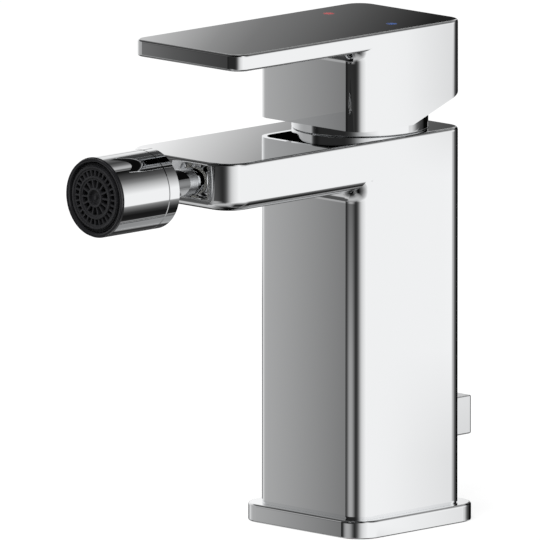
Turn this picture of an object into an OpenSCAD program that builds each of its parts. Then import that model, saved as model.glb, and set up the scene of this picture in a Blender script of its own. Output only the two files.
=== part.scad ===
// Single-lever bidet mixer with a ball-jointed nozzle and a pop-up waste knob.
// Origin: centre of the base plate's underside, on the deck. +Z is up and the spout points to -Y.

/* [Body] */
// Width and depth of the square column, and width of the spout
column_w = 46; // [45:0.5:48]
// Radius of the column's upright edges
column_r = 6.3; // [5.5:0.1:7]
// Height of the body's top face above the deck
body_top = 122; // [120:0.5:126]
// Rounding of the body's top edge
top_edge_r = 1; // [0.5:0.1:1.2]
// Reach of the spout's front face from the column's axis
spout_reach = 79.5; // [78:0.5:84]
// Plan radius of the spout's front corners
spout_r = 9.2; // [8:0.1:10]
// Thickness of the spout
spout_t = 14.9; // [14.4:0.1:15.2]
// Rounding of the spout's lower edges
spout_edge_r = 3.4; // [2.4:0.1:3.6]
// Fillet between the column's front and the spout's underside
spout_cove_r = 4.2; // [3:0.1:4.5]
// Wall round the hollow lower column
column_wall = 3.5; // [3:0.1:4]
// Height of the hollow's roof, where the inlets start
hollow_top = 66; // [64:0.5:68]

/* [Base] */
// Width and depth of the base plate
base_w = 53; // [52:0.5:56]
// Radius of the base plate's corners
base_r = 8.2; // [7:0.1:9]
// Thickness of the base plate
base_t = 5.5; // [5:0.1:6]
// Rounding of the base plate's upper edge
base_edge_r = 0.8; // [0.5:0.1:1.2]
// Width of the opening for hoses, stud and lift rod
base_opening_w = 34; // [33:0.5:34]

/* [Handle] */
// Height of the handle's top face above the deck
handle_top = 155.2; // [154:0.2:158]
// Gap between the body's top face and the handle's block
handle_gap = 3.1; // [3:0.1:3.5]
// Reach of the lever plate's front edge from the column's axis
lever_reach = 75.4; // [72:0.1:77]
// Plan radius of the lever plate's front corners
lever_r = 4.6; // [4:0.1:6]
// Thickness of the lever plate
lever_t = 4.5; // [4.2:0.1:5]
// Rounding of the lever plate's edges
lever_edge_r = 0.8; // [0.5:0.1:1]
// Fillet between the lever's underside and the block's front
lever_cove_r = 4; // [3:0.1:4.5]
// Wall of the hollow block
handle_wall = 1.6; // [1.4:0.1:1.7]
// Diameter of the hot and cold marks
mark_d = 3.4; // [3:0.1:4.5]
// Distance of each mark from the middle of the handle
mark_x = 13.5; // [12:0.5:14]

/* [Cartridge] */
// Radius of the cartridge's housing
cartridge_r = 17.4; // [17:0.1:17.5]
// Height of the chamber's floor, on which the cartridge stands
chamber_floor = 84; // [83:0.5:85]
// Height of the lever's pivot
pivot_z = 116; // [115.8:0.1:116.2]
// Radius of the pivot pin
pivot_r = 2; // [1.8:0.1:2.2]
// Width of the lever's square spindle
spindle_w = 8; // [7.5:0.1:8.2]
// Radius of the water ports
port_r = 2.6; // [2.2:0.1:2.7]
// Distance of each port from the middle plane
port_x = 7; // [6.8:0.1:7.2]
// Radius of the collar that covers the cartridge's nut
collar_r = 20.9; // [20.8:0.1:20.9]

/* [Nozzle] */
// Radius of the nozzle
nozzle_r = 12.3; // [12.2:0.1:13]
// Reach of the nozzle's mouth from the column's axis
mouth_reach = 114.1; // [113.5:0.1:115]
// Length of the nozzle from its rear face to its mouth
nozzle_l = 25; // [24.8:0.1:25.3]
// Length of the retaining ring at the rear
ring_l = 4.8; // [4.6:0.1:5]
// Radius of the ball
ball_r = 8; // [7.9:0.05:8.1]
// Radius of the neck that carries the ball
neck_r = 4.3; // [4.2:0.1:4.6]
// Number of outer slots in the aerator's grid
outer_slots = 28; // [20:1:32]
// Number of inner slots in the aerator's grid
inner_slots = 14; // [8:1:18]

/* [Waste control] */
// Width of the knob
knob_w = 16; // [12:0.5:18]
// Height of the knob
knob_h = 12; // [10.5:0.5:13]
// Reach of the knob's rear face from the column's axis
knob_reach = 40.9; // [39:0.1:42]
// Height of the knob's middle when the waste is open
knob_z = 28.4; // [27:0.1:30]
// Lift of the knob that closes the waste
knob_travel = 14; // [10:0.5:14]
// Radius of the lift rod
rod_r = 2.5; // [2:0.1:2.5]

/* [Motion] */
// Angle through which the lever lifts
lift_angle = 20; // [16:1:20]

/* [Fits] */
// Radial clearance of a running fit
running = 0.05; // [0.03:0.01:0.08]
// Clearance of pieces that are screwed or pushed together
slip = 0.1; // [0.05:0.01:0.15]
// Clearance of moving pieces that never touch
free = 0.35; // [0.3:0.05:0.4]

/* [Hidden] */
$fn = 96;
cut = 1;
chrome = "#d9dcde";
brass = "#c9a75a";
rubber = "#2b2b2b";
black_plastic = "#1c1c1e";
white_plastic = "#e6e6e0";
grey_plastic = "#8d9094";
ceramic = "#f2eee6";
steel = "#a9adb2";
nylon = "#f0efe8";

half_w = column_w / 2;

// Shadow gap where the column stands on the base plate, and the gasket under the plate
foot_gap = 0.3;
lip_h = 2.5;
gasket_band = 3;
gasket_t = 1.5;
gasket_w = (base_w + base_opening_w) / 2 + gasket_band;
gasket_inset = 2;
gasket_r = base_r - gasket_inset;

// Chamber of the cartridge, from its floor up to the nut's shoulder
nut_depth = 4.5;
nut_wall = 2.3;
nut_head_h = 4;
bore_r = cartridge_r + 2 * slip;
shoulder_z = body_top - nut_depth;
nut_r = bore_r + nut_wall - slip;
nut_top = body_top + nut_head_h;

// Water passages
port_y = 2;
inlet_r = 4.5;
inlet_depth = 11;
stud_r = 3.4;
stud_depth = 14;
stud_y = -11;
waterway_w = 16;
waterway_h = 5;
waterway_skin = 2;
waterway_floor = body_top - spout_t + waterway_skin;
pocket_rise = 16;
pocket_skin = 2.5;
pocket_floor = chamber_floor + pocket_rise;
pocket_front = half_w - pocket_skin;

// Nozzle stations, measured forward from the ball's centre
nozzle_drop = 0.85;
nozzle_z = body_top - spout_t / 2 - nozzle_drop;
ball_back = 6.9;
ball_reach = mouth_reach - nozzle_l + ball_back;
seam_at = ring_l - ball_back;
seam_chamfer = 0.2;
mouth_at = nozzle_l - ball_back;
seat_in_r = ball_r + running;
seat_t = 0.95;
seat_out_r = seat_in_r + seat_t;
socket_r = seat_out_r + running;
seat_edge = 1.5;
seat_end = 6.4;
rear_seat_end = 5;
ring_mouth_at = -5.2;
ring_mouth_r = sqrt(socket_r * socket_r - ring_mouth_at * ring_mouth_at);
ring_flare = 0.8;
spigot_step = 1.7;
spigot_l = 3;
spigot_r = nozzle_r - spigot_step;
spigot_end = seam_at + spigot_l;
passage_r = 5.9;
knuckle_thread_r = 3.9;
knuckle_socket_l = 13.5;
knuckle_seal_t = 1.2;
water_r = 2.5;
water_entry_r = 3.5;
water_entry_l = 6;

// Aerator stations, measured forward from the ball's centre
washer_at = 8.5;
washer_t = 1.5;
bezel_t = 0.9;
bezel_edge_r = 0.3;
rim_w = 0.3;
bezel_r = nozzle_r - rim_w;
housing_end = mouth_at - bezel_t;
insert_step = 1.9;
insert_r = nozzle_r - insert_step;
insert_wall = 0.8;
grid_r = insert_r - insert_wall;
grid_inset = 0.5;
grid_front = mouth_at - grid_inset;
grid_t = 1.6;

// Cartridge stations
base_flange_t = 4;
base_h = 9.5;
port_seal_w = 2;
port_seal_t = 1.5;
disc_seat_z = chamber_floor + base_h;
fixed_disc_t = 4;
fixed_disc_r = 13;
moving_disc_z = disc_seat_z + fixed_disc_t;
moving_disc_t = 3.5;
moving_disc_r = 10;
carrier_z = moving_disc_z + moving_disc_t;
carrier_t = 5;
paddle_r = 2.6;
paddle_drop = 12;
paddle_z = pivot_z - paddle_drop;
shank_t = 3.6;
housing_wall = 1.4;
housing_roof_t = 5.5;
housing_in_r = cartridge_r - housing_wall;
housing_roof_z = shoulder_z - housing_roof_t;
neck_sink = 0.5;
neck_top_z = body_top - neck_sink;
neck_in_r = 12.55;
neck_out_r = 14.6;
guide_t = 4.5;
guide_r = housing_in_r - 2 * slip;
guide_z = housing_roof_z - guide_t;
lever_hub_r = 5.2;
lever_slot_w = spindle_w + 2 * slip;
guide_slot = [-6.2, 7];
seal_groove_depth = 0.8;
seal_groove_r = cartridge_r - seal_groove_depth;
seal_t = 1.8;
seal_drop = 2.2;
seal_z = shoulder_z - seal_drop;
key_r = 1.2;
key_inset = 0.6;
key_x = moving_disc_r - key_inset;

// Handle and collar. The dome is centred on the lever's pivot, its mouth clears the lifted handle's boss,
// and the handle's roof clears the mouth.
handle_bottom = body_top + handle_gap;
lever_underside = handle_top - lever_t;
rim_half = half_w - handle_wall;
boss_r = 7.5;
collar_wall = 0.9;
collar_foot_r = 0.35;
collar_dome_r = sqrt(pow(rim_half, 2) + pow(handle_bottom - pivot_z, 2)) - free;
collar_in_r = collar_dome_r - collar_wall;
boss_angle = asin((boss_r + 3 * free) / collar_dome_r);
collar_mouth_r = collar_dome_r * sin(boss_angle + lift_angle);
nut_head_room = sqrt(pow(collar_in_r, 2) - pow(nut_top - pivot_z, 2)) - free;
nut_head_r = min(collar_r - collar_wall - slip, nut_head_room);
handle_roof_t = 6;
handle_roof_z = max(handle_top - handle_roof_t, pivot_z + collar_dome_r * cos(boss_angle) + free);
boss_gap = 2;
boss_bottom = nut_top + boss_gap;
spindle_top = handle_roof_z - 2 * slip;
grub_r = 2.5;
grub_z = (boss_bottom + handle_roof_z) / 2;
plug_r = 3;
mark_depth = 0.4;

// Waste control stations
stem_r = 3;
stem_slot_r = stem_r + slip;
clamp_size = [11, 9, knob_h];
clamp_gap = 2;
rod_y = half_w - column_wall - clamp_gap - clamp_size.y / 2;
rod_bottom = 1;
rod_end_l = 0.5;
rod_top = hollow_top + rod_end_l;
bush_r = 4;
bush_flange_r = 5.4;
bush_flange_t = 3;
bush_snout = 8;
bush_top = hollow_top + bush_snout;
rod_pocket_top = rod_top + knob_travel + rod_end_l;
knob_gap = 0.7;
knob_front = base_w / 2 + knob_gap;
knob_middle = (knob_front + knob_reach) / 2;
knob_edge_r = 0.5;
clamp_screw_r = 1.5;

// What lies outside a rounded corner of radius r, in the first quadrant
module corner_waste(r) {
    difference() {
        square(r + cut);
        circle(r);
    }
}

// Section from the line of corner centres out to an edge whose upper and lower corners are rounded
module edge_section(depth, h, top_r, bottom_r) {
    difference() {
        square([depth, h]);
        translate([depth - top_r, h - top_r]) corner_waste(top_r);
        translate([depth - bottom_r, bottom_r]) mirror([0, 1]) corner_waste(bottom_r);
    }
}

// Quarter of a block in the first quadrant, with a round plan corner and rounded upper and lower edges
module soft_quarter(w, depth, h, r, top_r, bottom_r) {
    rotate([90, 0, 0])
        mirror([0, 0, 1])
            linear_extrude(depth - r) edge_section(w, h, top_r, bottom_r);
    translate([0, depth - r, 0])
        rotate([90, 0, 90])
            linear_extrude(w - r) edge_section(r, h, top_r, bottom_r);
    translate([w - r, depth - r, 0]) rotate_extrude(angle = 90) edge_section(r, h, top_r, bottom_r);
}

// Block from y = -front to y = back, made of four quarters
module soft_block(w, front, back, h, front_r, back_r, top_r, bottom_r) {
    for (side = [0, 1])
        mirror([side, 0, 0]) {
            soft_quarter(w / 2, back, h, back_r, top_r, bottom_r);
            mirror([0, 1, 0]) soft_quarter(w / 2, front, h, front_r, top_r, bottom_r);
        }
}

// Plan of a square with round corners
module soft_square(w, r) {
    square([w - 2 * r, w], center = true);
    square([w, w - 2 * r], center = true);
    for (x = [-1, 1], y = [-1, 1]) translate([x, y] * (w / 2 - r)) circle(r);
}

// Section across the column's front, from the middle plane to its round corner, r away from the cove's axis
module cove_section(r) {
    difference() {
        translate([r, 0]) square([column_r + cut, half_w]);
        translate([r + column_r, half_w - column_r]) mirror([1, 0]) corner_waste(column_r);
    }
}

// Fillet from the column's front to a ceiling at z = 0, which takes the column's round corners up with it.
// It ends inside the ceiling, level with the top of the ceiling's rounded lower edge.
module cove(r, edge_r) {
    intersection() {
        for (side = [0, 1])
            mirror([side, 0, 0])
                translate([0, -half_w - r, -r])
                    rotate([90, 0, 90])
                        rotate_extrude(angle = 90) cove_section(r);
        translate([-half_w, -column_w, -column_w]) cube([column_w, column_w, column_w + edge_r]);
    }
}

// Column's plan, extruded between two heights
module column_block(bottom, top) {
    translate([0, 0, bottom]) linear_extrude(top - bottom) soft_square(column_w, column_r);
}

// Cylinder between two heights
module post(r, bottom, top, at = [0, 0]) {
    translate([at.x, at.y, bottom]) cylinder(r = r, h = top - bottom);
}

// Ring between two heights
module ring(out_r, in_r, bottom, top, at = [0, 0]) {
    difference() {
        post(out_r, bottom, top, at);
        post(in_r, bottom - cut, top + cut, at);
    }
}

// Cylinder along X, centred on the middle plane
module cross_pin(r, l, z) {
    translate([-l / 2, 0, z]) rotate([0, 90, 0]) cylinder(r = r, h = l);
}

// Cylinder along +Y from one station to another
module rear_pin(r, from, to, z) {
    translate([0, from, z]) rotate([-90, 0, 0]) cylinder(r = r, h = to - from);
}

// Moves children from the nozzle's own axis, where +Z runs forward from the ball's centre, into place
module on_nozzle() {
    translate([0, -ball_reach, nozzle_z]) rotate([90, 0, 0]) children();
}

module at_ports() {
    for (x = [-port_x, port_x]) translate([x, port_y, 0]) children();
}

module body_shell() {
    translate([0, 0, body_top - spout_t])
        soft_block(column_w, spout_reach, half_w, spout_t, spout_r, column_r, top_edge_r, spout_edge_r);
    column_block(base_t + foot_gap, body_top - spout_t / 2);
    translate([0, 0, base_t])
        linear_extrude(2 * foot_gap) soft_square(column_w - 2 * foot_gap, column_r - foot_gap);
    translate([0, 0, body_top - spout_t]) cove(spout_cove_r, spout_edge_r);
}

// Slot in the column's back through which the knob's stem passes
module stem_slot() {
    for (lift = [0, knob_travel])
        rear_pin(stem_slot_r, half_w - column_wall - cut, half_w + cut, knob_z + lift);
    translate([-stem_slot_r, half_w - column_wall - cut, knob_z])
        cube([2 * stem_slot_r, column_wall + 2 * cut, knob_travel]);
}

module body_casting() {
    color(chrome) difference() {
        body_shell();
        translate([0, 0, base_t - cut])
            linear_extrude(hollow_top - base_t + cut)
                soft_square(column_w - 2 * column_wall, column_r - column_wall);
        stem_slot();
        at_ports() {
            post(inlet_r, hollow_top - cut, hollow_top + inlet_depth);
            post(port_r, hollow_top, chamber_floor + cut);
        }
        post(stud_r, hollow_top - cut, hollow_top + stud_depth, [0, stud_y]);
        post(bush_r, hollow_top - cut, bush_top, [0, rod_y]);
        post(rod_r + free, hollow_top, rod_pocket_top, [0, rod_y]);
        post(bore_r, chamber_floor, body_top);
        post(nut_r + slip, shoulder_z, body_top + cut);
        translate([-waterway_w / 2, -pocket_front, pocket_floor])
            cube([waterway_w, pocket_front, waterway_floor + waterway_h - pocket_floor]);
        translate([-waterway_w / 2, knuckle_socket_l + waterway_skin - spout_reach, waterway_floor])
            cube([waterway_w, spout_reach - knuckle_socket_l - waterway_skin, waterway_h]);
        translate([0, -spout_reach, nozzle_z]) {
            rear_pin(knuckle_thread_r + running, -cut, knuckle_socket_l, 0);
            rear_pin(water_entry_r, 0, knuckle_socket_l + water_entry_l, 0);
        }
    }
}

module base_plate() {
    lip_w = column_w - 2 * column_wall - 2 * slip;
    color(chrome) difference() {
        union() {
            soft_block(base_w, base_w / 2, base_w / 2, base_t, base_r, base_r, base_edge_r, base_edge_r / 2);
            translate([0, 0, base_t - cut])
                linear_extrude(lip_h + cut) soft_square(lip_w, column_r - column_wall - slip);
        }
        translate([0, 0, -cut])
            linear_extrude(base_t + lip_h + 2 * cut) soft_square(base_opening_w, base_r / 2);
        translate([0, 0, -cut]) linear_extrude(gasket_t + cut) gasket_plan();
        post(rod_r + free, -cut, base_t + lip_h + cut, [0, rod_y]);
    }
}

module gasket_plan() {
    difference() {
        soft_square(gasket_w, gasket_r);
        soft_square(gasket_w - 2 * gasket_band, gasket_r - gasket_band);
    }
}

module base_gasket() {
    color(rubber) linear_extrude(gasket_t) gasket_plan();
}

module cartridge_base() {
    color(grey_plastic) difference() {
        union() {
            post(cartridge_r, chamber_floor, chamber_floor + base_flange_t);
            post(housing_in_r - slip, chamber_floor, disc_seat_z);
        }
        at_ports() {
            post(port_r, chamber_floor - cut, disc_seat_z + cut);
            post(port_r + port_seal_w, chamber_floor - cut, chamber_floor + port_seal_t);
        }
    }
}

module port_seals() {
    color(rubber) at_ports() ring(port_r + port_seal_w, port_r, chamber_floor, chamber_floor + port_seal_t);
}

module fixed_disc() {
    color(ceramic) difference() {
        post(fixed_disc_r, disc_seat_z, moving_disc_z);
        at_ports() post(port_r, disc_seat_z - cut, moving_disc_z + cut);
    }
}

module cartridge_housing() {
    window_sill = 1;
    window_h = carrier_z + carrier_t - moving_disc_z;
    color(white_plastic) difference() {
        union() {
            post(cartridge_r, chamber_floor + base_flange_t, shoulder_z);
            post(neck_out_r, shoulder_z - cut, neck_top_z);
        }
        post(housing_in_r, chamber_floor, housing_roof_z);
        post(neck_in_r, housing_roof_z - cut, neck_top_z + cut);
        ring(cartridge_r + cut, seal_groove_r, seal_z, seal_z + seal_t);
        translate([-waterway_w / 2, -cartridge_r - cut, moving_disc_z + window_sill])
            cube([waterway_w, cartridge_r / 2, window_h]);
    }
}

module housing_seal() {
    color(rubber) ring(bore_r, seal_groove_r, seal_z, seal_z + seal_t);
}

module cartridge_nut() {
    notch_w = 5;
    notch_depth = 2;
    color(brass) difference() {
        union() {
            post(nut_r, shoulder_z, body_top);
            post(nut_head_r, shoulder_z, nut_top);
        }
        post(neck_out_r + slip, shoulder_z - cut, nut_top + cut);
        for (turn = [0, 90])
            rotate([0, 0, turn])
                translate([-notch_w / 2, -nut_r - cut, nut_top - notch_depth])
                    cube([notch_w, 2 * (nut_r + cut), notch_depth + cut]);
    }
}

// Half section of the collar: a straight skirt from a lower edge, then a dome about the lever's pivot
module collar_section(r, dome_r, bottom) {
    intersection() {
        translate([0, bottom]) square([r, handle_top - bottom]);
        translate([0, pivot_z]) circle(dome_r);
    }
}

module collar() {
    color(chrome) rotate_extrude() difference() {
        collar_section(collar_r, collar_dome_r, body_top);
        collar_section(collar_r - collar_wall, collar_in_r, body_top - cut);
        square([collar_mouth_r, handle_top]);
        translate([collar_r - collar_foot_r, body_top + collar_foot_r])
            mirror([0, 1]) corner_waste(collar_foot_r);
    }
}

module knuckle() {
    face_at = spout_reach - ball_reach;
    thread_l = knuckle_socket_l - knuckle_seal_t;
    color(chrome) on_nozzle() difference() {
        union() {
            sphere(ball_r);
            translate([0, 0, face_at]) cylinder(r = neck_r, h = -face_at);
            translate([0, 0, face_at - thread_l]) cylinder(r = knuckle_thread_r, h = thread_l);
        }
        translate([0, 0, face_at - thread_l - cut]) cylinder(r = water_r, h = ball_reach);
    }
}

module knuckle_seal() {
    seal_at = knuckle_socket_l - knuckle_seal_t - spout_reach;
    color(rubber) translate([0, 0, nozzle_z]) difference() {
        rear_pin(knuckle_thread_r, seal_at, seal_at + knuckle_seal_t, 0);
        rear_pin(water_r, seal_at - cut, seal_at + knuckle_seal_t + cut, 0);
    }
}

module rod_bush() {
    color(nylon) difference() {
        union() {
            post(bush_r, hollow_top - bush_snout, bush_top, [0, rod_y]);
            post(bush_flange_r, hollow_top - bush_flange_t, hollow_top, [0, rod_y]);
        }
        post(rod_r + running, hollow_top - bush_snout - cut, bush_top + cut, [0, rod_y]);
    }
}

module lever_guide() {
    color(grey_plastic) difference() {
        union() {
            post(guide_r, guide_z, housing_roof_z - 2 * slip);
            post(neck_in_r - running, guide_z, neck_top_z);
        }
        translate([-lever_slot_w / 2, guide_slot[0], guide_z - cut])
            cube([lever_slot_w, guide_slot[1] - guide_slot[0], neck_top_z - guide_z + 2 * cut]);
        cross_pin(pivot_r, 4 * guide_r, pivot_z);
    }
}

module pivot_pin() {
    end_inset = 1;
    color(steel) cross_pin(pivot_r, 2 * (neck_in_r - end_inset), pivot_z);
}

module cartridge_lever() {
    color(brass) difference() {
        union() {
            cross_pin(paddle_r, spindle_w, paddle_z);
            cross_pin(lever_hub_r, spindle_w, pivot_z);
            translate([-spindle_w / 2, -shank_t / 2, paddle_z])
                cube([spindle_w, shank_t, pivot_z - paddle_z]);
            translate([-spindle_w / 2, -spindle_w / 2, pivot_z])
                cube([spindle_w, spindle_w, spindle_top - pivot_z]);
        }
        cross_pin(pivot_r + running, 2 * spindle_w, pivot_z);
    }
}

module handle_shell() {
    translate([0, 0, lever_underside])
        soft_block(column_w, lever_reach, half_w, lever_t, lever_r, column_r, lever_edge_r, lever_edge_r);
    column_block(handle_bottom, handle_top - lever_t / 2);
    translate([0, 0, lever_underside]) cove(lever_cove_r, lever_edge_r);
}

module handle() {
    socket_w = spindle_w + slip;
    color(chrome) difference() {
        union() {
            difference() {
                handle_shell();
                translate([0, 0, handle_bottom - cut])
                    linear_extrude(handle_roof_z - handle_bottom + cut)
                        soft_square(2 * rim_half, column_r - handle_wall);
                translate([0, 0, handle_bottom])
                    rotate([lift_angle, 0, 0])
                        translate([-column_w, 0, -column_w]) cube([2 * column_w, column_w, column_w]);
            }
            post(boss_r, boss_bottom, handle_roof_z + cut);
        }
        translate([-socket_w / 2, -socket_w / 2, boss_bottom - cut])
            cube([socket_w, socket_w, handle_roof_z - boss_bottom + cut]);
        rear_pin(grub_r, 0, boss_r + cut, grub_z);
        rear_pin(plug_r, rim_half - cut, half_w + cut, grub_z);
        for (x = [-mark_x, mark_x]) post(mark_d / 2, handle_top - mark_depth, handle_top + cut, [x, 0]);
    }
}

module grub_screw() {
    key_w = 2.5;
    tip = spindle_w / 2;
    grub_l = boss_r - tip;
    color(steel) difference() {
        rear_pin(grub_r, tip, tip + grub_l, grub_z);
        translate([0, tip + grub_l / 2, grub_z])
            rotate([-90, 0, 0]) cylinder(d = key_w / cos(30), h = grub_l, $fn = 6);
    }
}

module screw_plug() {
    color(chrome) rear_pin(plug_r, rim_half, half_w, grub_z);
}

module hot_mark() {
    color("#c8242b") post(mark_d / 2, handle_top - mark_depth, handle_top, [-mark_x, 0]);
}

module cold_mark() {
    color("#1f4fa3") post(mark_d / 2, handle_top - mark_depth, handle_top, [mark_x, 0]);
}

module disc_carrier() {
    slot_l = 2 * (paddle_r + 2 * slip);
    key_depth = 1.5;
    color(white_plastic) difference() {
        union() {
            post(moving_disc_r, carrier_z, carrier_z + carrier_t);
            for (x = [-key_x, key_x])
                intersection() {
                    post(key_r, carrier_z - key_depth, carrier_z + cut, [x, 0]);
                    post(moving_disc_r, carrier_z - key_depth, carrier_z + cut);
                }
        }
        translate([-lever_slot_w / 2, -slot_l / 2, carrier_z - cut])
            cube([lever_slot_w, slot_l, carrier_t + 2 * cut]);
    }
}

module moving_disc() {
    notch_depth = 2;
    color(ceramic) difference() {
        post(moving_disc_r, moving_disc_z, carrier_z);
        for (x = [-key_x, key_x]) post(key_r + slip, carrier_z - notch_depth, carrier_z + cut, [x, 0]);
    }
}

// Zone of a spherical shell between two planes across the nozzle's axis
module ball_seat(from, to) {
    on_nozzle() rotate_extrude() intersection() {
        difference() {
            circle(seat_out_r);
            circle(seat_in_r);
        }
        translate([0, from]) square([seat_out_r + cut, to - from]);
    }
}

module rear_ball_seat() {
    color(nylon) ball_seat(-rear_seat_end, -seat_edge);
}

module front_ball_seat() {
    color(nylon) ball_seat(seat_edge, seat_end);
}

module nozzle_housing() {
    color(chrome) on_nozzle() difference() {
        union() {
            translate([0, 0, seam_at])
                cylinder(r1 = nozzle_r - seam_chamfer, r2 = nozzle_r, h = seam_chamfer);
            translate([0, 0, seam_at + seam_chamfer])
                cylinder(r = nozzle_r, h = housing_end - seam_at - seam_chamfer);
        }
        translate([0, 0, seam_at - cut])
            cylinder(r = spigot_r + running, h = spigot_end - seam_at + cut + slip);
        sphere(socket_r);
        cylinder(r = passage_r, h = washer_at + cut);
        translate([0, 0, washer_at]) cylinder(r = insert_r + slip, h = nozzle_l);
    }
}

module nozzle_ring() {
    rear_edge = 0.6;
    color(chrome) on_nozzle() difference() {
        union() {
            translate([0, 0, -ball_back]) cylinder(r1 = nozzle_r - rear_edge, r2 = nozzle_r, h = rear_edge);
            translate([0, 0, rear_edge - ball_back])
                cylinder(r = nozzle_r, h = ring_l - rear_edge - seam_chamfer);
            translate([0, 0, seam_at - seam_chamfer])
                cylinder(r1 = nozzle_r, r2 = nozzle_r - seam_chamfer, h = seam_chamfer);
            translate([0, 0, seam_at - cut]) cylinder(r = spigot_r, h = spigot_end - seam_at + cut);
        }
        intersection() {
            sphere(socket_r);
            translate([0, 0, ring_mouth_at]) cylinder(r = 2 * nozzle_r, h = nozzle_r * 2);
        }
        translate([0, 0, -ball_back])
            cylinder(r1 = ring_mouth_r + ring_flare, r2 = ring_mouth_r, h = ball_back + ring_mouth_at);
    }
}

// Half section of the bezel: a bead whose inner side rounds down to the grid
module bezel_section() {
    difference() {
        translate([grid_r, 0]) square([bezel_r - grid_r, bezel_t]);
        translate([bezel_r - bezel_edge_r, bezel_t - bezel_edge_r]) corner_waste(bezel_edge_r);
        translate([grid_r + bezel_t, 0]) mirror([1, 0]) corner_waste(bezel_t);
    }
}

module aerator_shell() {
    color(black_plastic) on_nozzle() {
        translate([0, 0, washer_at + washer_t]) difference() {
            cylinder(r = insert_r, h = housing_end - washer_at - washer_t);
            translate([0, 0, -cut]) cylinder(r = grid_r, h = nozzle_l);
        }
        translate([0, 0, housing_end]) rotate_extrude() bezel_section();
    }
}

// Ring of spokes between two radii
module spokes(count, in_r, out_r, w) {
    for (i = [0 : count - 1])
        rotate(i * 360 / count) translate([in_r, -w / 2]) square([out_r - in_r, w]);
}

module flat_ring(out_r, in_r) {
    difference() {
        circle(out_r);
        circle(in_r);
    }
}

module aerator_grid() {
    outer_ring = [8.4, 6.65];
    inner_ring = [5.4, 3.05];
    spoke_w = 0.5;
    lap = 0.2;
    hub_r = 2.25;
    hub_web = 0.8;
    dot_r = 0.6;
    color(black_plastic) on_nozzle() translate([0, 0, grid_front - grid_t]) {
        linear_extrude(grid_t) {
            flat_ring(grid_r - running, outer_ring[0]);
            flat_ring(outer_ring[1], inner_ring[0]);
            flat_ring(inner_ring[1], hub_r);
            spokes(outer_slots, outer_ring[1] - lap, outer_ring[0] + lap, spoke_w);
            spokes(inner_slots, inner_ring[1] - lap, inner_ring[0] + lap, spoke_w);
        }
        cylinder(r = hub_r + lap, h = hub_web);
        cylinder(r = dot_r, h = grid_t);
    }
}

module aerator_screen() {
    screen_t = 0.6;
    color(steel) on_nozzle()
        translate([0, 0, grid_front - grid_t - 2 * screen_t]) cylinder(r = grid_r - running, h = screen_t);
}

module aerator_washer() {
    color(rubber) on_nozzle() translate([0, 0, washer_at]) difference() {
        cylinder(r = insert_r, h = washer_t);
        translate([0, 0, -cut]) cylinder(r = passage_r + slip, h = washer_t + 2 * cut);
    }
}

module knob() {
    half_l = knob_reach - knob_middle;
    corner_r = 2 * knob_edge_r;
    color(chrome) difference() {
        translate([0, knob_middle, knob_z - knob_h / 2])
            soft_block(knob_w, half_l, half_l, knob_h, corner_r, corner_r, knob_edge_r, knob_edge_r);
        rear_pin(stem_r, knob_front - cut, knob_middle, knob_z);
    }
}

module knob_stem() {
    color(chrome) rear_pin(stem_r, rod_y + rod_r, knob_middle, knob_z);
}

module rod_clamp() {
    color(brass) difference() {
        translate([-clamp_size.x / 2, rod_y - clamp_size.y / 2, knob_z - clamp_size.z / 2]) cube(clamp_size);
        post(rod_r, 0, hollow_top, [0, rod_y]);
        rear_pin(stem_r, rod_y, half_w, knob_z);
        rear_pin(clamp_screw_r, 0, rod_y, knob_z);
    }
}

module clamp_screw() {
    head_r = 2.6;
    head_t = 2;
    clamp_front = rod_y - clamp_size.y / 2;
    color(steel) {
        rear_pin(clamp_screw_r, clamp_front, rod_y - rod_r, knob_z);
        rear_pin(head_r, clamp_front - head_t, clamp_front, knob_z);
    }
}

module lift_rod() {
    color(steel) post(rod_r, rod_bottom, rod_top, [0, rod_y]);
}

body_casting();
base_plate();
base_gasket();
cartridge_base();
port_seals();
fixed_disc();
cartridge_housing();
housing_seal();
cartridge_nut();
collar();
knuckle();
knuckle_seal();
rod_bush();
lever_guide();
pivot_pin();
cartridge_lever();
handle();
grub_screw();
screw_plug();
hot_mark();
cold_mark();
disc_carrier();
moving_disc();
rear_ball_seat();
front_ball_seat();
nozzle_housing();
nozzle_ring();
aerator_shell();
aerator_grid();
aerator_screen();
aerator_washer();
knob();
knob_stem();
rod_clamp();
clamp_screw();
lift_rod();
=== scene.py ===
import math

import bmesh
import bpy
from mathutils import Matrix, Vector


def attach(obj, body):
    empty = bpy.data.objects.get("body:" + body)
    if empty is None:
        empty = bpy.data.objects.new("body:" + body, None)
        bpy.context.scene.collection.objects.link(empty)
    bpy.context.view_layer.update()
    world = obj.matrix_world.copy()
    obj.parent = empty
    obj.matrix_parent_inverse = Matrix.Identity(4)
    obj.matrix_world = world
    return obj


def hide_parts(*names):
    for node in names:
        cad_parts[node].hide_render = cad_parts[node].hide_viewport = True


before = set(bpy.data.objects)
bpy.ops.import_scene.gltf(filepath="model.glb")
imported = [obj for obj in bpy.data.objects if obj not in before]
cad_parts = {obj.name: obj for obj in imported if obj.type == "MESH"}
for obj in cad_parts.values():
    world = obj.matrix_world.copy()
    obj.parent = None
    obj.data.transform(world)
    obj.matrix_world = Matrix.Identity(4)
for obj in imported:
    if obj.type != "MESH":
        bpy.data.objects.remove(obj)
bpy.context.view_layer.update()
scene = bpy.context.scene

MM_PER_M = 1000


def linear(code):
    """Linear RGBA of an sRGB hex colour."""
    parts = [int(code[i:i + 2], 16) / 255 for i in (1, 3, 5)]
    return [p / 12.92 if p <= 0.04045 else ((p + 0.055) / 1.055) ** 2.4 for p in parts] + [1.0]


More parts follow.
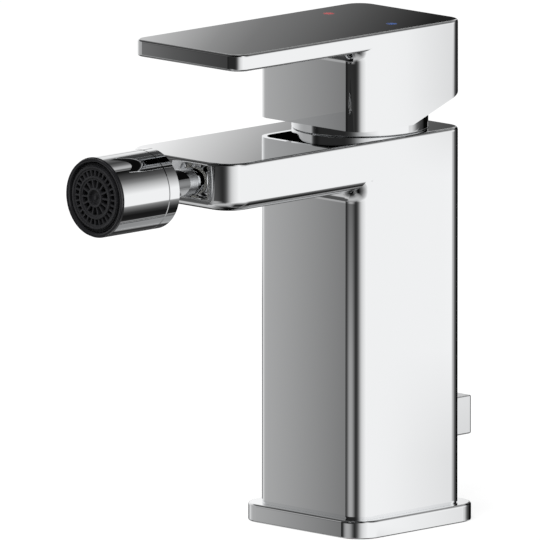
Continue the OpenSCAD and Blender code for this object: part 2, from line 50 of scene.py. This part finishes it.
def add(tree, kind, inputs=None, stops=None, **settings):
    """One node with its settings. An input is a value, or the output socket that it is linked from."""
    node = tree.nodes.new(kind)
    for name, value in settings.items():
        setattr(node, name, value)
    for name, value in (inputs or {}).items():
        if isinstance(value, bpy.types.NodeSocket):
            tree.links.new(value, node.inputs[name])
        else:
            node.inputs[name].default_value = value
    if stops:
        band = node.color_ramp.elements
        while len(band) < len(stops):
            band.new(1.0)
        for element, (position, colour) in zip(band, stops):
            element.position = position
            element.color = colour
    return node


def bare(name):
    """A material without nodes, and its tree."""
    material = bpy.data.materials.new(name)
    material.use_nodes = True
    material.node_tree.nodes.clear()
    return material, material.node_tree


def finish(name):
    """A material of the mixer, its tree, and the metre coordinates that its patterns use."""
    material, tree = bare(name)
    return material, tree, add(tree, "ShaderNodeTexCoord").outputs["Object"]


def skin(tree, **sockets):
    """The surface of a finish. Each socket gets a value, or the pattern that is linked to it."""
    named = {name.replace("_", " "): value for name, value in sockets.items()}
    shader = add(tree, "ShaderNodeBsdfPrincipled", named)
    add(tree, "ShaderNodeOutputMaterial", {"Surface": shader.outputs[0]})


def per_mm(size):
    """Pattern scale whose features are about this many millimetres across."""
    return MM_PER_M / size


def mottle(tree, place, size, low, high):
    """Uneven value between low and high, in patches of about this many millimetres."""
    patch = add(tree, "ShaderNodeTexNoise", {"Vector": place, "Scale": per_mm(size), "Detail": 3.0})
    # Most of a noise lies between 0.3 and 0.7, so that range is spread over the whole
    spread = add(tree, "ShaderNodeMapRange", {
        "Value": patch.outputs["Fac"], "From Min": 0.3, "From Max": 0.7, "To Min": low, "To Max": high})
    return spread.outputs["Result"]


def drift(tree, place, size, dark, pale):
    """Colour that drifts between two tones, in patches of about this many millimetres."""
    tones = [(0.0, linear(dark)), (1.0, linear(pale))]
    patches = mottle(tree, place, size, 0.0, 1.0)
    return add(tree, "ShaderNodeValToRGB", {"Fac": patches}, stops=tones).outputs["Color"]


# Chrome: its colour, then the patches that the mop or the lathe leaves: their size in millimetres, and the lowest
# and highest roughness in them
CHROME = linear("#eff0f1")
MOPPED = (14, 0.004, 0.014)
UNMOPPED = (3, 0.3, 0.4)
RING_EDGE = -0.0892  # Y in metres, where the mopped part of the nozzle's rear ring ends
EDGE_BLEND = 0.0001


def chrome_plate():
    # Bright chrome over nickel on mop-polished brass: a near-white mirror, with a faint uneven haze from the mop.
    material, tree, place = finish("chrome_plate")
    skin(tree, Metallic=1.0, Base_Color=CHROME, Roughness=mottle(tree, place, *MOPPED))
    return material


def half_polished_chrome(edge):
    # Chrome plate that the mop doesn't reach behind this depth in Y: there the turned brass leaves it satin.
    material, tree, place = finish("half_polished_chrome")
    depth = add(tree, "ShaderNodeSeparateXYZ", {0: place}).outputs["Y"]
    behind = add(tree, "ShaderNodeMapRange", {
        "Value": depth, "From Min": edge - EDGE_BLEND, "From Max": edge, "To Min": 0.0, "To Max": 1.0})
    # Inputs 2 and 3 of a Mix node are its two plain numbers
    rough = add(tree, "ShaderNodeMix", {
        "Factor": behind.outputs["Result"], 2: mottle(tree, place, *MOPPED), 3: mottle(tree, place, *UNMOPPED)})
    skin(tree, Metallic=1.0, Base_Color=CHROME, Roughness=rough.outputs[0])
    return material


def turned_brass():
    # Free-cutting brass off the lathe: warm metal with fine turning rings that blur its shine. A wave repeats
    # about three times in its scale, so the rings are 0.4 mm apart: coarser than real ones, so that they show.
    material, tree, place = finish("turned_brass")
    rings = add(tree, "ShaderNodeTexWave", {
        "Vector": place, "Scale": per_mm(1.2), "Distortion": 0.4}, wave_type="RINGS", rings_direction="Z")
    ridges = add(tree, "ShaderNodeBump", {"Height": rings.outputs["Fac"], "Distance": 0.01 / MM_PER_M})
    skin(tree, Metallic=1.0, Base_Color=linear("#c9a45c"), Roughness=mottle(tree, place, 4, 0.22, 0.36),
         Normal=ridges.outputs[0])
    return material


def drawn_steel():
    # Stainless bar and wire, cold drawn: cool grey metal with a soft sheen and faint draw lines along its length,
    # 0.5 mm wide, which is coarser than real ones, so that they show.
    material, tree, place = finish("drawn_steel")
    along = add(tree, "ShaderNodeMapping", {"Vector": place, "Scale": (1, 1, 0.03)})
    lines = mottle(tree, along.outputs[0], 0.5, 0.2, 0.38)
    skin(tree, Metallic=1.0, Base_Color=linear("#a9adb1"), Roughness=lines)
    return material


def woven_steel():
    # Aerator gauze of 0.2 mm stainless wire: a fine square weave of bright wires, with the gaps between them
    # painted dark as painted shade for the openings. Its squares are drawn 0.5 mm wide, so that they show.
    material, tree, place = finish("woven_steel")
    weave = add(tree, "ShaderNodeTexChecker", {
        # Color2 is painted shade: the dark seen through the gaps between the wires, not a colour of the steel
        "Vector": place, "Scale": per_mm(0.5), "Color1": linear("#8d9196"), "Color2": linear("#26282a")})
    wires = add(tree, "ShaderNodeBump", {"Height": weave.outputs["Fac"], "Distance": 0.08 / MM_PER_M})
    skin(tree, Metallic=1.0, Roughness=0.35, Base_Color=weave.outputs["Color"], Normal=wires.outputs[0])
    return material


def moulded(name, dark, pale, grain, rough, depth):
    """Plastic, rubber or ceramic: a tone that drifts a little, and the mould's grain in its shine and relief.

    grain and depth are the grain's width and height in millimetres, and rough is its range of roughness."""
    material, tree, place = finish(name)
    height = mottle(tree, place, grain, 0.0, 1.0)
    texture = add(tree, "ShaderNodeBump", {"Height": height, "Distance": depth / MM_PER_M})
    skin(tree, Base_Color=drift(tree, place, 6, dark, pale), Roughness=mottle(tree, place, grain, *rough),
         Normal=texture.outputs[0])
    return material


def filled_enamel(name, dark, pale):
    # Baked enamel flowed into a drilled dimple: strong colour that drifts a little, under a glassy skin.
    material, tree, place = finish(name)
    skin(tree, Base_Color=drift(tree, place, 2, dark, pale), Roughness=mottle(tree, place, 0.6, 0.12, 0.22),
         Coat_Weight=0.6, Coat_Roughness=0.05)
    return material


# Polished ABS shines like lacquer. Acetal takes the mould's fine spark grain, so it is satin. Rubber is dull.
# Alumina is lapped flat, so it has almost no relief.
black_abs = moulded("black_abs", "#1c1c1e", "#242426", grain=0.35, rough=(0.05, 0.1), depth=0.001)
black_acetal = moulded("black_acetal", "#242426", "#2c2c2e", grain=0.35, rough=(0.2, 0.34), depth=0.004)
black_rubber = moulded("black_rubber", "#171717", "#232322", grain=0.8, rough=(0.55, 0.75), depth=0.02)
white_acetal = moulded("white_acetal", "#deddd5", "#eeece4", grain=0.5, rough=(0.32, 0.45), depth=0.006)
grey_acetal = moulded("grey_acetal", "#84878b", "#96999d", grain=0.5, rough=(0.34, 0.48), depth=0.006)
lapped_alumina = moulded("lapped_alumina", "#ece8de", "#f6f3ec", grain=0.2, rough=(0.1, 0.18), depth=0.001)

FINISHES = [
    (chrome_plate(), [
        "body_casting", "base_plate", "collar", "knuckle", "handle", "screw_plug", "nozzle_housing",
        "knob", "knob_stem"]),
    (half_polished_chrome(RING_EDGE), ["nozzle_ring"]),
    (turned_brass(), ["cartridge_nut", "cartridge_lever", "rod_clamp"]),
    (drawn_steel(), ["pivot_pin", "grub_screw", "clamp_screw", "lift_rod"]),
    (woven_steel(), ["aerator_screen"]),
    (black_abs, ["aerator_shell"]),
    (black_acetal, ["aerator_grid"]),
    (black_rubber, ["base_gasket", "port_seals", "housing_seal", "knuckle_seal", "aerator_washer"]),
    (white_acetal, ["cartridge_housing", "disc_carrier", "rod_bush", "rear_ball_seat", "front_ball_seat"]),
    (grey_acetal, ["cartridge_base", "lever_guide"]),
    (lapped_alumina, ["fixed_disc", "moving_disc"]),
    (filled_enamel("red_enamel", "#b01820", "#d4323a"), ["hot_mark"]),
    (filled_enamel("blue_enamel", "#123f8a", "#2c62b4"), ["cold_mark"]),
]
for material, names in FINISHES:
    for name in names:
        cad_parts[name].data.materials.clear()
        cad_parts[name].data.materials.append(material)


# The aerator's face, in millimetres: a groove runs inside the bezel's rounded lip, and raised rings divide the grid
MOUTH = Vector((0, -0.1141, 0.1137))  # Middle of the nozzle's mouth, in metres
BEZEL_CORNERS = [  # Radius, depth behind the mouth, and how much of each side is rounded off
    (10.4, 8.1, 0), (10.4, 0.9, 0),  # Sleeve in the nozzle
    (12.0, 0.9, 0), (12.0, 0.0, 0.25), (11.15, 0.0, 0.4),  # Lip
    (10.55, 1.3, 0.3), (9.95, 1.3, 0.15),  # Groove
    (9.85, 0.45, 0.08), (9.62, 0.45, 0.08),  # Wall round the grid
    (9.62, 8.1, 0),  # Bore
]
RING_RADII = (9.28, 6.3, 2.68)
RING_HALF_WIDTH, RING_TOP, RING_FOOT, RING_ROUND = 0.28, 0.18, 0.55, 0.14
TURNS = 144  # Steps round a turned piece
ARC_STEPS = 6  # Steps along a rounded corner
CRISP_EDGE = math.radians(40)  # Edges that turn by more than this aren't shaded smooth


def softened(corners):
    """Outline through (radius, depth, cut) corners in millimetres, each rounded over its cut on both sides."""
    outline = []
    for i, (radius, depth, cut) in enumerate(corners):
        here = Vector((radius, depth))
        if not cut:
            outline.append(here)
            continue
        before = here + cut * (Vector(corners[i - 1][:2]) - here).normalized()
        after = here + cut * (Vector(corners[(i + 1) % len(corners)][:2]) - here).normalized()
        for step in range(ARC_STEPS + 1):
            t = step / ARC_STEPS
            outline.append((1 - t) ** 2 * before + 2 * t * (1 - t) * here + t * t * after)
    return outline


def ring_corners(radius):
    """Corners of a raised ring's section, which starts in the grid and is rounded on top."""
    inner, outer = radius - RING_HALF_WIDTH, radius + RING_HALF_WIDTH
    return [
        (inner, RING_FOOT, 0), (inner, RING_TOP, RING_ROUND),
        (outer, RING_TOP, RING_ROUND), (outer, RING_FOOT, 0)]


def turned(name, outlines, material):
    """Ring or rings turned about the nozzle's axis, from closed outlines of (radius, depth behind the mouth)."""
    points, faces = [], []
    for outline in outlines:
        first, count = len(points), len(outline)
        for i in range(TURNS):
            a = 2 * math.pi * i / TURNS
            points += [MOUTH + Vector((r * math.cos(a), depth, r * math.sin(a))) / MM_PER_M for r, depth in outline]
            near, far = first + i * count, first + (i + 1) % TURNS * count
            for k in range(count):
                faces.append((near + k, near + (k + 1) % count, far + (k + 1) % count, far + k))
    mesh = bpy.data.meshes.new(name)
    mesh.from_pydata(points, [], faces)
    shell = bmesh.new()
    shell.from_mesh(mesh)
    bmesh.ops.recalc_face_normals(shell, faces=shell.faces)
    shell.to_mesh(mesh)
    shell.free()
    mesh.shade_smooth()
    mesh.set_sharp_from_angle(angle=CRISP_EDGE)
    mesh.materials.append(material)
    piece = bpy.data.objects.new(name, mesh)
    scene.collection.objects.link(piece)
    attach(piece, "nozzle")
    return piece


bezel = turned("aerator_bezel", [softened(BEZEL_CORNERS)], black_abs)
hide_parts("aerator_shell")
turned("aerator_rings", [softened(ring_corners(radius)) for radius in RING_RADII], black_acetal)


# The handle, in millimetres
CORNER_AXIS = 16.7  # Its block's upright corners are arcs about axes this far from the middle, in X and in Y
OUTSIDE_FROM = 6.2  # A point further than this from those axes is on the outside, not in the hollow
PLATE_FROM = -16.6  # Y where the lever plate starts
UNDERSIDE = (146.6, 151.6)  # Heights of the plate's underside, with the cove below it and the rounded edge above
LEVER_DEEPER = 0.65


def deeper_lever(more):
    """Handle whose lever plate reaches this many millimetres lower than the solid's. The block is the same."""
    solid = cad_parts["handle"]
    mesh = solid.data.copy()
    mesh.name = "deep_handle"
    to_world, to_local = solid.matrix_world, solid.matrix_world.inverted()
    for vertex in mesh.vertices:
        x, y, z = (to_world @ vertex.co) * MM_PER_M
        outside = math.hypot(max(abs(x) - CORNER_AXIS, 0), max(-CORNER_AXIS - y, 0)) > OUTSIDE_FROM
        if outside and y < PLATE_FROM and UNDERSIDE[0] < z < UNDERSIDE[1]:
            vertex.co = to_local @ (Vector((x, y, z - more)) / MM_PER_M)
    piece = bpy.data.objects.new("deep_handle", mesh)
    piece.matrix_world = to_world
    scene.collection.objects.link(piece)
    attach(piece, "lever")
    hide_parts("handle")


deeper_lever(LEVER_DEEPER)


def direction(azimuth, elevation):
    """Unit vector this many degrees round from -Y towards +X, and up."""
    a, e = math.radians(azimuth), math.radians(elevation)
    return Vector((math.sin(a) * math.cos(e), -math.cos(a) * math.cos(e), math.sin(e)))


# Long lens from the front right and a little above, which shows the mixer with almost no perspective
AIM = Vector((-0.0016, -0.0372, 0.0818))
PICTURE_W = 0.1644  # Metres that the picture spans at the mixer
VIEW_FROM = direction(45, 10)
camera = bpy.data.objects.new("camera", bpy.data.cameras.new("camera"))
camera.data.sensor_width = 36
camera.data.lens = 1700
camera.location = AIM + VIEW_FROM * (PICTURE_W * camera.data.lens / camera.data.sensor_width)
camera.rotation_mode = "QUATERNION"
camera.rotation_quaternion = (-VIEW_FROM).to_track_quat("-Z", "Y")
camera.data.clip_start, camera.data.clip_end = 0.1, 30
scene.collection.objects.link(camera)
scene.camera = camera


# The studio: a floor, an even white room, two soft boxes, and cards round the mixer for its reflections
WHITE = linear("#ffffff")
FLOOR_SIDE, FLOOR_CELLS = 4.0, 8
FLOOR_GLOW = 0.72  # What the eye sees on top of the lit board, to bring it up to white
ROOM_LIGHT = 0.7
CARD_CENTRE = Vector((0, -0.02, 0.09))
CARD_RADIUS = 0.6
CARD_LIGHT = 1.13
CARD_COLUMNS, CARD_ROWS = 61, 25
LAYER_STEP = 0.004  # Share of the radius by which each layer hangs in front of the one before


def sheet_mesh(name, points, columns):
    """Object made of rows of points, each row this many points long, with its place in the rows as UV."""
    rows = len(points) // columns
    corners = [
        (r * columns + c, r * columns + c + 1, (r + 1) * columns + c + 1, (r + 1) * columns + c)
        for r in range(rows - 1) for c in range(columns - 1)]
    mesh = bpy.data.meshes.new(name)
    mesh.from_pydata(points, [], corners)
    uv = mesh.uv_layers.new(name="UVMap")
    for loop in mesh.loops:
        r, c = divmod(loop.vertex_index, columns)
        uv.data[loop.index].uv = (c / (columns - 1), r / (rows - 1))
    sheet = bpy.data.objects.new(name, mesh)
    scene.collection.objects.link(sheet)
    return sheet


def seen_by_eye(tree):
    """1 for a ray from the camera, or one that a mirror or glass passes on."""
    path = add(tree, "ShaderNodeLightPath").outputs
    seen = path["Is Camera Ray"]
    for passed_on in (path["Is Glossy Ray"], path["Is Transmission Ray"]):
        seen = add(tree, "ShaderNodeMath", {0: seen, 1: passed_on}, operation="MAXIMUM").outputs[0]
    return seen


def pale_floor():
    # Matt white studio board: lit evenly it goes to white, and it keeps the mixer's soft shadow.
    steps = [FLOOR_SIDE * (i / FLOOR_CELLS - 0.5) for i in range(FLOOR_CELLS + 1)]
    floor = sheet_mesh("floor", [(x, y, 0.0) for y in steps for x in steps], len(steps))
    material, tree = bare("white_board")
    board = add(tree, "ShaderNodeBsdfDiffuse", {"Color": linear("#9f9f9f")})
    glow = add(tree, "ShaderNodeEmission", {"Color": WHITE, "Strength": FLOOR_GLOW})
    both = add(tree, "ShaderNodeAddShader", {0: board.outputs[0], 1: glow.outputs[0]})
    pick = add(tree, "ShaderNodeMixShader", {0: seen_by_eye(tree), 1: board.outputs[0], 2: both.outputs[0]})
    add(tree, "ShaderNodeOutputMaterial", {"Surface": pick.outputs[0]})
    floor.data.materials.append(material)
    floor.visible_glossy = False


def white_world():
    # The background is white to the eye and in the chrome, and lights everything else evenly, a little lower.
    world = bpy.data.worlds.new("studio")
    world.use_nodes = True
    scene.world = world
    tree = world.node_tree
    tree.nodes.clear()
    white = add(tree, "ShaderNodeBackground", {"Color": WHITE, "Strength": 1.0})
    room = add(tree, "ShaderNodeBackground", {"Color": WHITE, "Strength": ROOM_LIGHT})
    pick = add(tree, "ShaderNodeMixShader", {0: seen_by_eye(tree), 1: room.outputs[0], 2: white.outputs[0]})
    add(tree, "ShaderNodeOutputWorld", {"Surface": pick.outputs[0]})


def soft_box(name, azimuth, elevation, distance, size, watts):
    """Soft light aimed at the mixer, kept out of the chrome, where the cards do the drawing."""
    away = direction(azimuth, elevation)
    lamp = bpy.data.lights.new(name, "AREA")
    lamp.size = size
    lamp.energy = watts
    box = bpy.data.objects.new(name, lamp)
    box.location = CARD_CENTRE + away * distance
    box.rotation_mode = "QUATERNION"
    box.rotation_quaternion = (-away).to_track_quat("-Z", "Y")
    box.visible_glossy = False
    scene.collection.objects.link(box)


def card(name, layer, across, upward, lean=0.0):
    """Curved card round the mixer, which shows only in the reflections on chrome, plastic and enamel.

    across: (azimuth, grey, cover) from left to right; upward: (elevation, grey, cover) from low to high.
    The two greys multiply, and so do the covers. lean turns the card by this many degrees per degree of height.
    A card of a higher layer hangs in front of those of lower ones."""
    radius = CARD_RADIUS * (1 - LAYER_STEP * layer)
    left, right = across[0][0], across[-1][0]
    low, high = upward[0][0], upward[-1][0]
    points = []
    for r in range(CARD_ROWS):
        up = low + (high - low) * r / (CARD_ROWS - 1)
        for c in range(CARD_COLUMNS):
            turn = left + (right - left) * c / (CARD_COLUMNS - 1) + lean * up
            points.append(CARD_CENTRE + radius * direction(turn, up))
    sheet = sheet_mesh(name, points, CARD_COLUMNS)
    material, tree = bare(name)
    place = add(tree, "ShaderNodeSeparateXYZ", {0: add(tree, "ShaderNodeUVMap", uv_map="UVMap").outputs[0]})
    tones = []
    for axis, band in (("X", across), ("Y", upward)):
        start, end = band[0][0], band[-1][0]
        tones.append(add(tree, "ShaderNodeValToRGB", {"Fac": place.outputs[axis]}, stops=[
            ((at - start) / (end - start), linear("#" + 3 * f"{grey:02x}")[:3] + [cover])
            for at, grey, cover in band]))
    # Inputs 6 and 7 and output 2 of a Mix node are its colours
    tone = add(tree, "ShaderNodeMix", {
        "Factor": 1.0, 6: tones[0].outputs["Color"], 7: tones[1].outputs["Color"]},
        data_type="RGBA", blend_type="MULTIPLY")
    cover = add(tree, "ShaderNodeMath", {
        0: tones[0].outputs["Alpha"], 1: tones[1].outputs["Alpha"]}, operation="MULTIPLY")
    grey = add(tree, "ShaderNodeEmission", {"Color": tone.outputs[2], "Strength": CARD_LIGHT})
    clear = add(tree, "ShaderNodeBsdfTransparent")
    both = add(tree, "ShaderNodeMixShader", {0: cover.outputs[0], 1: clear.outputs[0], 2: grey.outputs[0]})
    add(tree, "ShaderNodeOutputMaterial", {"Surface": both.outputs[0]})
    material.cycles.emission_sampling = "NONE"
    sheet.data.materials.append(material)
    sheet.visible_camera = False
    sheet.visible_diffuse = False
    sheet.visible_transmission = False
    sheet.visible_shadow = False


pale_floor()
white_world()
soft_box("key_light", azimuth=20, elevation=50, distance=1.2, size=0.8, watts=9)
soft_box("fill_light", azimuth=-60, elevation=35, distance=1.4, size=1.0, watts=5)

# To the left of the camera: the front faces grow darker to the right, then the near corner turns from dark to white
card("front_card", 0,
     [(-125, 250, 0.0), (-105, 230, 1.0), (-88, 210, 1.0), (-76, 179, 1.0), (-65, 167, 1.0), (-46, 166, 1.0),
      (-43.7, 128, 1.0), (-42, 90, 1.0), (-41.1, 75, 1.0), (-40.1, 61, 1.0), (-37.5, 38, 1.0), (-33, 26, 1.0),
      (-25, 40, 1.0), (20, 40, 1.0), (26, 50, 1.0), (31, 66, 1.0), (37, 101, 1.0), (42, 143, 1.0),
      (48, 181, 1.0), (54, 206, 1.0), (62, 222, 1.0), (74, 236, 1.0), (86, 250, 0.0)],
     [(-21, 255, 0.0), (-19.8, 255, 1.0), (22, 255, 1.0), (30, 255, 0.0)])
# Narrow card just left of the lens: the pale line down the near corner, which fades towards the spout
card("corner_card", 8,
     [(-35, 255, 0.0), (-28.5, 255, 0.24), (-22.6, 255, 0.64), (-16, 255, 0.92), (-9.8, 255, 1.0),
      (-3, 255, 0.96), (2.4, 255, 0.84), (8.4, 255, 0.58), (14.2, 255, 0.26), (22, 255, 0.0)],
     [(-25, 170, 1.0), (-17.6, 165, 1.0), (-13.6, 154, 1.0), (-10, 120, 1.0), (-6, 60, 1.0), (-3, 40, 0.0)])
# Board below on the left: dark along the lever's lower edge, paler along the spout's
card("low_front_card", 1,
     [(-132, 220, 0.0), (-118, 230, 1.0), (-60, 255, 1.0), (-36, 255, 1.0), (-22, 255, 0.0)],
     [(-76, 60, 1.0), (-60, 130, 1.0), (-50, 185, 1.0), (-42.5, 200, 1.0), (-39.5, 105, 1.0), (-36, 80, 1.0),
      (-20.8, 78, 1.0), (-19.6, 78, 0.0)])
# Board below the lens: the pale patch under the near corners, which ends in black
card("low_lens_card", -2,
     [(-40, 255, 0.0), (-26, 255, 1.0), (30, 255, 1.0), (70, 255, 0.0)],
     [(-76, 20, 1.0), (-66, 60, 1.0), (-50, 150, 1.0), (-40, 185, 1.0), (-30, 165, 1.0), (-24, 100, 1.0),
      (-20.8, 80, 1.0), (-19.6, 80, 0.0)])
# Behind on the left: the top faces grow darker to the right and upwards
card("top_card", 8,
     [(196, 20, 0.0), (202, 20, 1.0), (206.9, 35, 1.0), (209.1, 75, 1.0), (212.4, 116, 1.0), (213.6, 137, 1.0),
      (214.6, 160, 1.0), (215.6, 180, 1.0), (217.4, 212, 1.0), (220, 240, 0.0)],
     [(-2, 255, 0.0), (1, 255, 1.0), (18, 255, 1.0), (21, 255, 0.0)],
     lean=0.9)
# Behind the mixer: the dark lines down its right edge and round its rear corners' upper edges
card("back_card", -1,
     [(136, 250, 0.0), (138, 238, 1.0), (143, 216, 1.0), (149, 176, 1.0), (157, 108, 1.0), (166, 70, 1.0),
      (172, 56, 1.0), (176, 46, 1.0), (180.5, 6, 1.0), (212, 4, 1.0), (222, 20, 0.0)],
     [(-30, 200, 0.0), (-25, 215, 1.0), (-15, 255, 1.0), (-5, 255, 1.0), (0, 255, 0.0)])
card("rear_rim_card", 5,
     [(150, 90, 0.0), (162, 70, 1.0), (172, 54, 1.0), (176, 44, 1.0), (180.5, 8, 1.0), (202, 6, 1.0),
      (212, 30, 0.0)],
     [(-8, 255, 0.0), (-4, 255, 1.0), (26, 255, 1.0), (32, 255, 0.0)])
# Right of the mixer: the handle's side greys a little towards its rear end
card("haze_card", 9,
     [(133.9, 242, 0.0), (134.9, 239, 1.0), (136.9, 214, 1.0), (139, 205, 1.0), (143, 190, 0.0)],
     [(-7.4, 255, 0.0), (-4.8, 255, 1.0), (2, 255, 1.0), (5, 255, 0.0)])
# The same for the lower end of the column, the base plate and the knob
card("low_haze_card", 9,
     [(133.2, 244, 0.0), (134.6, 238, 1.0), (136.2, 226, 1.0), (139, 216, 1.0), (143, 205, 0.0)],
     [(-20, 255, 1.0), (-16.5, 255, 1.0), (-13, 255, 0.0)])
# Low on the right: the lower edges of the corners and the sides turn from white to black
card("low_corner_card", 2,
     [(30, 255, 0.0), (70, 255, 1.0), (116, 255, 1.0), (130, 255, 0.0)],
     [(-76, 120, 1.0), (-66, 90, 1.0), (-59, 20, 1.0), (-55, 8, 1.0), (-51, 16, 1.0), (-46, 58, 1.0),
      (-37, 110, 1.0), (-28, 174, 1.0), (-22, 220, 1.0), (-18.4, 250, 0.0)])
card("low_right_card", 3,
     [(112, 255, 0.0), (128, 255, 1.0), (158, 255, 1.0), (164, 255, 0.0)],
     [(-72, 120, 1.0), (-54, 90, 1.0), (-46, 28, 1.0), (-39, 24, 1.0), (-33, 53, 1.0), (-26, 103, 1.0),
      (-22, 130, 1.0), (-19.8, 165, 1.0), (-18.8, 225, 1.0), (-18.2, 250, 0.0)])
# Low behind: a pale and a dark line under the nozzle and the spout
card("low_back_card", 4,
     [(160, 24, 0.0), (163, 60, 1.0), (167, 149, 1.0), (175, 175, 1.0), (184, 181, 1.0), (202, 164, 1.0),
      (209, 130, 1.0), (216, 74, 1.0), (224, 50, 1.0), (236, 60, 0.0)],
     [(-72, 255, 1.0), (-36, 255, 1.0), (-30, 255, 0.0)])
card("low_left_card", 7,
     [(206, 70, 0.0), (212, 70, 1.0), (250, 60, 1.0), (268, 120, 0.0)],
     [(-76, 60, 1.0), (-45, 80, 1.0), (-38, 200, 1.0), (-30, 255, 1.0), (-12, 255, 1.0), (-7, 255, 0.0)])
# High on the right: the nozzle and every upper edge darken upwards
card("high_right_card", 0,
     [(84, 255, 0.0), (112, 255, 1.0), (163, 255, 1.0), (170, 255, 0.0)],
     [(4, 245, 0.0), (8, 237, 1.0), (15, 215, 1.0), (24, 178, 1.0), (32, 127, 1.0), (40, 80, 1.0),
      (46, 60, 1.0), (52, 15, 1.0), (62, 15, 1.0), (70, 60, 0.0)])
# High behind: a pale strip between two dark ones along the upper edges
card("high_back_card", 1,
     [(164, 15, 0.0), (168, 60, 1.0), (175, 182, 1.0), (182, 170, 1.0), (191, 110, 1.0), (205, 63, 1.0),
      (215, 92, 1.0), (223, 130, 1.0), (228, 190, 0.0)],
     [(24, 255, 0.0), (32, 255, 1.0), (62, 255, 1.0), (70, 255, 0.0)])
# High on the left and over the lens: the front edges of the lever and the spout darken to the right
card("high_left_card", 2,
     [(226, 150, 0.0), (234, 130, 1.0), (270, 90, 1.0), (290, 66, 1.0), (306, 58, 1.0), (330, 30, 1.0),
      (345, 12, 1.0), (400, 12, 1.0), (420, 60, 1.0), (444, 120, 0.0)],
     [(20, 255, 0.0), (28, 255, 1.0), (62, 255, 1.0), (70, 255, 0.0)])
# Overhead and underfoot: the dark lines along the corners' upper and lower edges
card("overhead_card", -7,
     [(-180, 12, 1.0), (180, 12, 1.0)],
     [(54, 255, 0.0), (62, 255, 1.0), (90, 255, 1.0)])
card("underfoot_card", -7,
     [(-180, 14, 1.0), (180, 14, 1.0)],
     [(-90, 255, 1.0), (-70, 255, 1.0), (-62, 255, 0.0)])

scene.view_settings.view_transform = "Standard"
